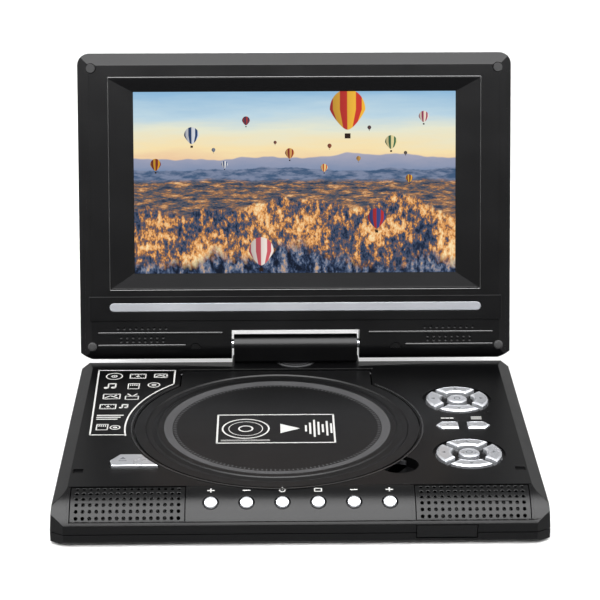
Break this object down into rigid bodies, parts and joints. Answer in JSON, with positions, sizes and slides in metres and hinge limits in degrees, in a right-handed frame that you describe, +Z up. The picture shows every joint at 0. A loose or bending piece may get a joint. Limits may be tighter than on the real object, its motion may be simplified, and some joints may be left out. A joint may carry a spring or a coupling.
{
  "type": "portable dvd player",
  "caption": "Flat portable disc player: a case with a hinged round disc lid, silver keys and front speakers, and a wide screen panel on a swivel and tilt hinge.",
  "frame": {"origin": "on the table, under the middle of the player's footprint with the screen at rest", "axes": "+X to the viewer's right, +Y from the front edge to the hinge, +Z up"},
  "size_m": [0.2316, 0.2224, 0.1818],
  "materials": {
    "case_plastic": "fine spark texture",
    "silver_plastic": "satin silver paint on plastic",
    "gloss_black": "polished smoked plastic",
    "rubber": "matt",
    "board": "solder mask",
    "steel": "plain",
    "drive_plastic": "moulded",
    "battery": "shrink sleeve",
    "screen": "lit picture behind glass",
    "nylon": "moulded"
  },
  "bodies": {
    "base": {"base_top_cover": "case_plastic", "base_bottom_cover": "case_plastic", "foot_front_left": "rubber", "foot_rear_left": "rubber", "foot_front_right": "rubber", "foot_rear_right": "rubber", "disc_well": "drive_plastic", "guide_rod_left": "steel", "guide_rod_right": "steel", "spindle_motor": "steel", "sled_motor": "steel", "lid_hinge_pin": "steel", "key_board": "board", "speaker_grille_left": "case_plastic", "speaker_left": "steel", "speaker_grille_right": "case_plastic", "speaker_right": "steel", "ir_window": "gloss_black", "main_board": "board", "battery_pack": "battery", "dc_jack": "gloss_black", "headphone_jack": "steel", "usb_socket": "steel", "swivel_bush": "nylon"},
    "turntable": {"turntable": "drive_plastic"},
    "laser_pickup": {"laser_pickup": "drive_plastic"},
    "sled_gear": {"sled_gear": "nylon"},
    "disc_lid": {"disc_lid": "case_plastic"},
    "lid_release_key": {"lid_release_key": "silver_plastic"},
    "lower_pad_up_key": {"lower_pad_up_key": "silver_plastic"},
    "lower_pad_left_key": {"lower_pad_left_key": "silver_plastic"},
    "lower_pad_down_key": {"lower_pad_down_key": "silver_plastic"},
    "lower_pad_right_key": {"lower_pad_right_key": "silver_plastic"},
    "lower_pad_centre_key": {"lower_pad_centre_key": "silver_plastic"},
    "upper_pad_up_key": {"upper_pad_up_key": "silver_plastic"},
    "upper_pad_left_key": {"upper_pad_left_key": "silver_plastic"},
    "upper_pad_down_key": {"upper_pad_down_key": "silver_plastic"},
    "upper_pad_right_key": {"upper_pad_right_key": "silver_plastic"},
    "upper_pad_centre_key": {"upper_pad_centre_key": "silver_plastic"},
    "setup_key": {"setup_key": "silver_plastic"},
    "menu_key": {"menu_key": "silver_plastic"},
    "front_key_1": {"front_key_1": "silver_plastic"},
    "front_key_2": {"front_key_2": "silver_plastic"},
    "front_key_3": {"front_key_3": "silver_plastic"},
    "front_key_4": {"front_key_4": "silver_plastic"},
    "front_key_5": {"front_key_5": "silver_plastic"},
    "front_key_6": {"front_key_6": "silver_plastic"},
    "swivel": {"swivel_block": "case_plastic", "swivel_block_cover": "case_plastic", "swivel_shaft": "steel", "tilt_pin_left": "steel", "tilt_pin_right": "steel"},
    "screen": {"screen_bezel": "case_plastic", "screen_back_cover": "case_plastic", "lcd_panel": "screen", "screen_trim_strip": "silver_plastic", "screen_bumper_left": "rubber", "screen_bumper_right": "rubber", "tilt_bracket_left": "steel", "tilt_bracket_right": "steel"}
  },
  "joints": [
    {"name": "screen_swivel", "type": "hinge", "parent": "base", "child": "swivel", "pos_m": [0, 0.06326, 0.022], "axis": [0, 0, 1], "range_deg": [0, 180]},
    {"name": "screen_tilt", "type": "hinge", "parent": "swivel", "child": "screen", "pos_m": [0, 0.06326, 0.0313], "axis": [1, 0, 0], "range_deg": [-74.4, 105.6]},
    {"name": "lid_hinge", "type": "hinge", "parent": "base", "child": "disc_lid", "pos_m": [-0.0103, 0.04625, 0.0202], "axis": [1, 0, 0], "range_deg": [-75, 0]},
    {"name": "lid_release", "type": "slide", "parent": "base", "child": "lid_release_key", "axis": [0, 0, -1], "range_m": [0, 0.0012], "stiffness_N_per_m": 300},
    {"name": "disc_spin", "type": "hinge", "parent": "base", "child": "turntable", "pos_m": [-0.0103, -0.02345, 0.015], "axis": [0, 0, 1], "continuous": true},
    {"name": "laser_slide", "type": "slide", "parent": "base", "child": "laser_pickup", "axis": [0, -1, 0], "range_m": [0, 0.032]},
    {"name": "sled_gear_spin", "type": "hinge", "parent": "base", "child": "sled_gear", "pos_m": [0.0167, -0.05645, 0.009], "axis": [0, 0, 1], "range_deg": [0, 229.3]},
    {"name": "lower_pad_up_key_press", "type": "slide", "parent": "base", "child": "lower_pad_up_key", "axis": [0, 0, -1], "range_m": [0, 0.0008], "stiffness_N_per_m": 300},
    {"name": "lower_pad_left_key_press", "type": "slide", "parent": "base", "child": "lower_pad_left_key", "axis": [0, 0, -1], "range_m": [0, 0.0008], "stiffness_N_per_m": 300},
    {"name": "lower_pad_down_key_press", "type": "slide", "parent": "base", "child": "lower_pad_down_key", "axis": [0, 0, -1], "range_m": [0, 0.0008], "stiffness_N_per_m": 300},
    {"name": "lower_pad_right_key_press", "type": "slide", "parent": "base", "child": "lower_pad_right_key", "axis": [0, 0, -1], "range_m": [0, 0.0008], "stiffness_N_per_m": 300},
    {"name": "lower_pad_centre_key_press", "type": "slide", "parent": "base", "child": "lower_pad_centre_key", "axis": [0, 0, -1], "range_m": [0, 0.0008], "stiffness_N_per_m": 300},
    {"name": "upper_pad_up_key_press", "type": "slide", "parent": "base", "child": "upper_pad_up_key", "axis": [0, 0, -1], "range_m": [0, 0.0008], "stiffness_N_per_m": 300},
    {"name": "upper_pad_left_key_press", "type": "slide", "parent": "base", "child": "upper_pad_left_key", "axis": [0, 0, -1], "range_m": [0, 0.0008], "stiffness_N_per_m": 300},
    {"name": "upper_pad_down_key_press", "type": "slide", "parent": "base", "child": "upper_pad_down_key", "axis": [0, 0, -1], "range_m": [0, 0.0008], "stiffness_N_per_m": 300},
    {"name": "upper_pad_right_key_press", "type": "slide", "parent": "base", "child": "upper_pad_right_key", "axis": [0, 0, -1], "range_m": [0, 0.0008], "stiffness_N_per_m": 300},
    {"name": "upper_pad_centre_key_press", "type": "slide", "parent": "base", "child": "upper_pad_centre_key", "axis": [0, 0, -1], "range_m": [0, 0.0008], "stiffness_N_per_m": 300},
    {"name": "setup_key_press", "type": "slide", "parent": "base", "child": "setup_key", "axis": [0, 0, -1], "range_m": [0, 0.0008], "stiffness_N_per_m": 300},
    {"name": "menu_key_press", "type": "slide", "parent": "base", "child": "menu_key", "axis": [0, 0, -1], "range_m": [0, 0.0008], "stiffness_N_per_m": 300},
    {"name": "front_key_1_press", "type": "slide", "parent": "base", "child": "front_key_1", "axis": [0, 0.515, -0.8572], "range_m": [0, 0.0008], "stiffness_N_per_m": 300},
    {"name": "front_key_2_press", "type": "slide", "parent": "base", "child": "front_key_2", "axis": [0, 0.515, -0.8572], "range_m": [0, 0.0008], "stiffness_N_per_m": 300},
    {"name": "front_key_3_press", "type": "slide", "parent": "base", "child": "front_key_3", "axis": [0, 0.515, -0.8572], "range_m": [0, 0.0008], "stiffness_N_per_m": 300},
    {"name": "front_key_4_press", "type": "slide", "parent": "base", "child": "front_key_4", "axis": [0, 0.515, -0.8572], "range_m": [0, 0.0008], "stiffness_N_per_m": 300},
    {"name": "front_key_5_press", "type": "slide", "parent": "base", "child": "front_key_5", "axis": [0, 0.515, -0.8572], "range_m": [0, 0.0008], "stiffness_N_per_m": 300},
    {"name": "front_key_6_press", "type": "slide", "parent": "base", "child": "front_key_6", "axis": [0, 0.515, -0.8572], "range_m": [0, 0.0008], "stiffness_N_per_m": 300}
  ],
  "couplings": [
    {"joint": "sled_gear_spin", "follows": "laser_slide", "rad_per_m": 125}
  ]
}
